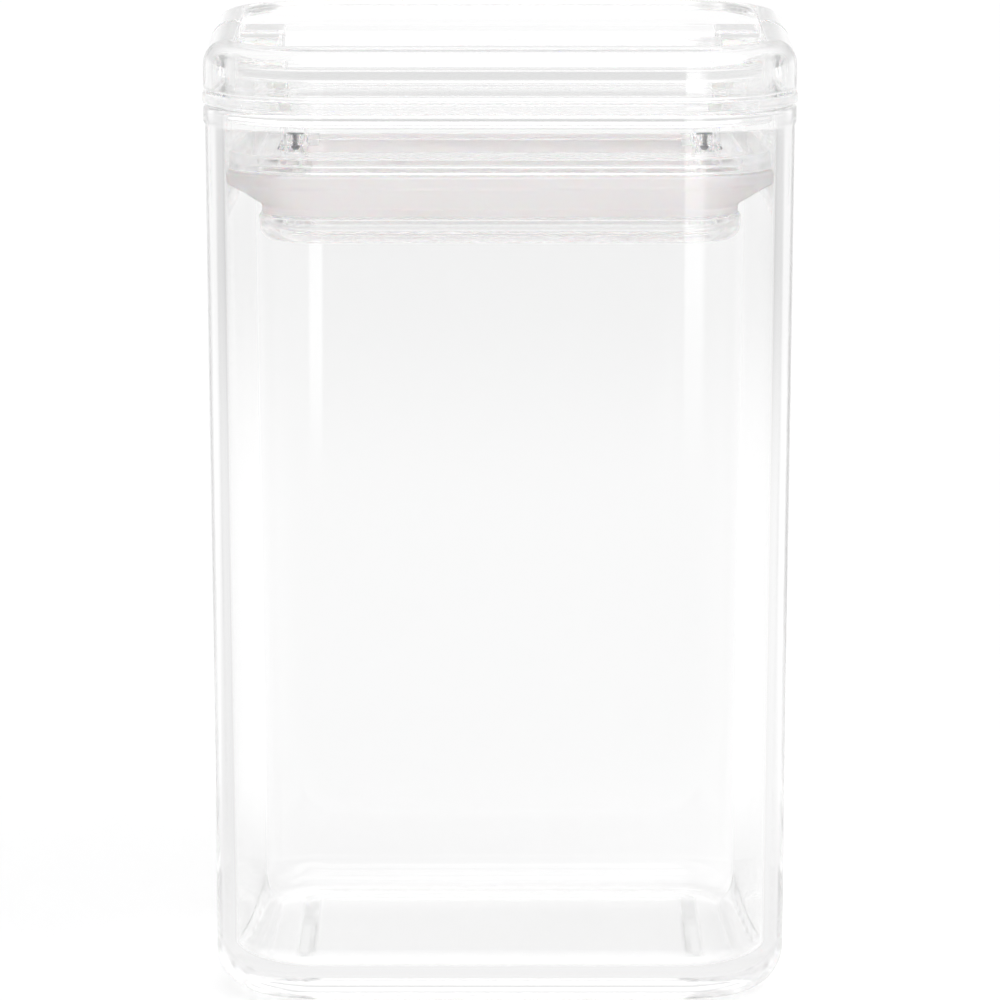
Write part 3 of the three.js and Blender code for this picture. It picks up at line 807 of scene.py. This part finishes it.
def makeCamera():
    pitch = math.radians(camera["pitch"])
    away, rise = camera["distance"] * math.cos(pitch), camera["distance"] * math.sin(pitch)
    data = bpy.data.cameras.new("camera")
    data.lens = camera["lens"]
    data.sensor_width = camera["sensor"]
    data.clip_end = camera["clipEnd"] * mm
    thing = bpy.data.objects.new("camera", data)
    thing.location = Vector((0, -away, camera["aimZ"] + rise)) * mm
    thing.rotation_euler = (math.pi / 2 - pitch, 0, 0)
    bpy.context.scene.collection.objects.link(thing)
    bpy.context.scene.camera = thing


makeCamera()

# foot, fade and farther: between which distances the floor's painted reflection changes, from its dimmed
# level at the foot, painted shade under the canister, to the near levels, then the floor levels, then the
# room levels
# wallRise and ceilingRise: between which heights of a ray the painted room reflection changes, from the
# room levels to the painted wall's level, then the painted ceiling's
light = dict(floorRadius=2300, floorSides=128, floorDrop=0.05, paper="#f2f2f2", fill=0.05, ambient=0.75,
             sun=1.25, sunAngle=70, sunTurn=(22, 18, 0), bounces=160,
             foot=(50, 220), paintedFootShade=0.9, fade=(560, 1200), farther=(1450, 1650),
             wallRise=(0.0, 0.08), paintedWallLevel=0.78, ceilingRise=(0.2, 0.5), paintedCeilingLevel=1.0)

# painted reflection, what the glass mirrors, by degrees round from the front towards the right: the room,
# the floor a good metre away, and the floor close by. The first two have a painted tall window on the right
paintedRoomLevels = ((-152, 1.0), (-141, 0.88), (-110, 0.82), (4, 0.8), (7, 2.0), (22, 2.0), (28, 1.05), (95, 1.0),
              (141, 0.88), (152, 1.0))
paintedFloorLevels = ((-147, 1.0), (-141, 0.76), (-127, 0.72), (-110, 0.45), (-60, 0.25), (3, 0.15), (6, 1.7),
               (22, 1.7), (27, 0.35), (110, 0.5), (127, 0.72), (141, 0.76), (147, 1.0))
paintedNearLevels = ((-152, 1.1), (-138, 0.86), (-100, 0.84), (-50, 0.7), (-30, 0.64), (30, 0.64), (50, 0.7),
              (100, 0.93), (138, 0.95), (152, 1.1))


def byDirection(tree, place, levels):
    # a level that changes with the direction round the upright axis, from a ramp that goes up to 1
    top = max(level for degrees, level in levels)
    split = node(tree, "ShaderNodeSeparateXYZ", (-1700, -400), [(0, place)])
    back = node(tree, "ShaderNodeMath", (-1500, -500), [(0, split.outputs["Y"])], operation="MULTIPLY")
    back.inputs[1].default_value = -1
    angle = node(tree, "ShaderNodeMath", (-1300, -400), [(0, split.outputs["X"]), (1, back.outputs[0])],
                 operation="ARCTAN2")
    turn = node(tree, "ShaderNodeMapRange", (-1100, -400), [("Value", angle.outputs[0])],
                in_From_Min=-math.pi, in_From_Max=math.pi)
    ramp = node(tree, "ShaderNodeValToRGB", (-900, -400), [("Fac", turn.outputs["Result"])])
    points = ramp.color_ramp.elements
    while len(points) < len(levels):
        points.new(0.5)
    for point, (degrees, level) in zip(points, levels):
        point.position = (degrees + 180) / 360
        point.color = [level / top] * 3 + [1]
    level = node(tree, "ShaderNodeMath", (-600, -400), [(0, ramp.outputs["Color"])], operation="MULTIPLY")
    level.inputs[1].default_value = top
    return level.outputs[0]


def mirroredRay(tree, x, y):
    # 1 for a ray that has been mirrored, otherwise 0
    ray = node(tree, "ShaderNodeLightPath", (x - 300, y))
    bounced = node(tree, "ShaderNodeMath", (x, y), [(0, ray.outputs["Glossy Depth"])],
                   operation="GREATER_THAN")
    bounced.inputs[1].default_value = 0.5
    return bounced.outputs[0]


def makeFloor():
    # white paper to the eye, with its shadow; to mirrored rays it glows with a painted reflection of floor,
    # room and window, which fades away from the foot
    rest()
    bpy.ops.mesh.primitive_circle_add(vertices=light["floorSides"], radius=light["floorRadius"] * mm,
                                      fill_type="NGON", location=(0, 0, -light["floorDrop"] * mm))
    bpy.ops.object.transform_apply(location=True, rotation=True, scale=True)
    floor = bpy.context.object
    floor.name = "floor"
    material, tree = newMaterial("whitePaper")
    paper = node(tree, "ShaderNodeBsdfDiffuse", (-300, 0), in_Color=shade(light["paper"]))
    fill = node(tree, "ShaderNodeEmission", (-300, -200), in_Strength=light["fill"])
    lit = node(tree, "ShaderNodeAddShader", (0, 0), [(0, paper.outputs[0]), (1, fill.outputs[0])])
    place = node(tree, "ShaderNodeTexCoord", (-1900, -400))
    away = node(tree, "ShaderNodeVectorMath", (-1300, -800), [(0, place.outputs["Object"])],
                operation="LENGTH")
    mirrored = None
    for name, levels, y in (("foot", paintedNearLevels, -800), ("fade", paintedFloorLevels, -1100),
                            ("farther", paintedRoomLevels, -1400)):
        start, end = light[name]
        change = node(tree, "ShaderNodeMapRange", (-1100, y), [("Value", away.outputs["Value"])],
                      interpolation_type="SMOOTHSTEP", in_From_Min=start * mm, in_From_Max=end * mm)
        mix = node(tree, "ShaderNodeMix", (-500, y),
                   [("Factor", change.outputs["Result"]),
                    ("B", byDirection(tree, place.outputs["Object"], levels))], data_type="FLOAT")
        # the painted reflection's dimmed level at the foot, painted shade under the canister
        mix.inputs["A"].default_value = light["paintedFootShade"]
        if mirrored:
            tree.links.new(mirrored.outputs["Result"], mix.inputs["A"])
        mirrored = mix
    # the painted reflection, a glow that only mirrored rays see
    glow = node(tree, "ShaderNodeEmission", (-300, -400), [("Strength", mirrored.outputs["Result"])])
    either = node(tree, "ShaderNodeMixShader", (200, 0),
                  [(0, mirroredRay(tree, -600, 300)), (1, lit.outputs[0]), (2, glow.outputs[0])])
    finishMaterial(tree, either.outputs[0])
    floor.data.materials.append(material)


def makeWorld():
    # white to the eye and through the glass; what the glass mirrors is a painted pale grey room and window
    world = bpy.data.worlds.new("studio")
    bpy.context.scene.world = world
    world.use_nodes = True
    tree = world.node_tree
    tree.nodes.clear()
    ray = node(tree, "ShaderNodeLightPath", (-900, 0))
    seen = node(tree, "ShaderNodeMath", (-600, 200),
                [(0, ray.outputs["Is Camera Ray"]), (1, ray.outputs["Is Transmission Ray"])],
                operation="MAXIMUM")
    place = node(tree, "ShaderNodeTexCoord", (-1900, -400))
    # the painted room reflection, with its window, seen only by mirrored rays
    low = byDirection(tree, place.outputs["Generated"], paintedRoomLevels)
    split = node(tree, "ShaderNodeSeparateXYZ", (-1700, -800), [(0, place.outputs["Generated"])])
    rise = node(tree, "ShaderNodeMapRange", (-1100, -800), [("Value", split.outputs["Z"])],
                in_From_Min=light["wallRise"][0], in_From_Max=light["wallRise"][1])
    wall = node(tree, "ShaderNodeMix", (-800, -200), [("Factor", rise.outputs["Result"]), ("A", low)],
                data_type="FLOAT")
    wall.inputs["B"].default_value = light["paintedWallLevel"]
    ceiling = node(tree, "ShaderNodeMapRange", (-1100, -1100), [("Value", split.outputs["Z"])],
                   in_From_Min=light["ceilingRise"][0], in_From_Max=light["ceilingRise"][1])
    around = node(tree, "ShaderNodeMix", (-600, -200),
                  [("Factor", ceiling.outputs["Result"]), ("A", wall.outputs["Result"])], data_type="FLOAT")
    around.inputs["B"].default_value = light["paintedCeilingLevel"]
    straight = node(tree, "ShaderNodeMix", (-400, 0), [("Factor", seen.outputs[0])], data_type="FLOAT")
    straight.inputs["A"].default_value = light["ambient"]
    straight.inputs["B"].default_value = 1.0  # white
    level = node(tree, "ShaderNodeMix", (-200, 0),
                 [("Factor", mirroredRay(tree, -600, 0)), ("A", straight.outputs["Result"]),
                  ("B", around.outputs["Result"])], data_type="FLOAT")
    glow = node(tree, "ShaderNodeBackground", (0, 0), [("Strength", level.outputs["Result"])],
                in_Color=(1, 1, 1, 1))
    node(tree, "ShaderNodeOutputWorld", (200, 0), [("Surface", glow.outputs[0])])


def makeSun():
    # a wide softbox overhead, a little to the front and the right
    data = bpy.data.lights.new("overhead", "SUN")
    data.energy = light["sun"]
    data.angle = math.radians(light["sunAngle"])
    lamp = bpy.data.objects.new("overhead", data)
    lamp.rotation_euler = [math.radians(turn) for turn in light["sunTurn"]]
    bpy.context.scene.collection.objects.link(lamp)


makeFloor()
makeWorld()
makeSun()

# a ray that runs along inside the glass turns dark if its bounces run out
cycles = bpy.context.scene.cycles
cycles.max_bounces = light["bounces"]
cycles.transmission_bounces = light["bounces"]
cycles.glossy_bounces = light["bounces"]
cycles.blur_glossy = 0
bpy.context.scene.view_settings.view_transform = "Standard"
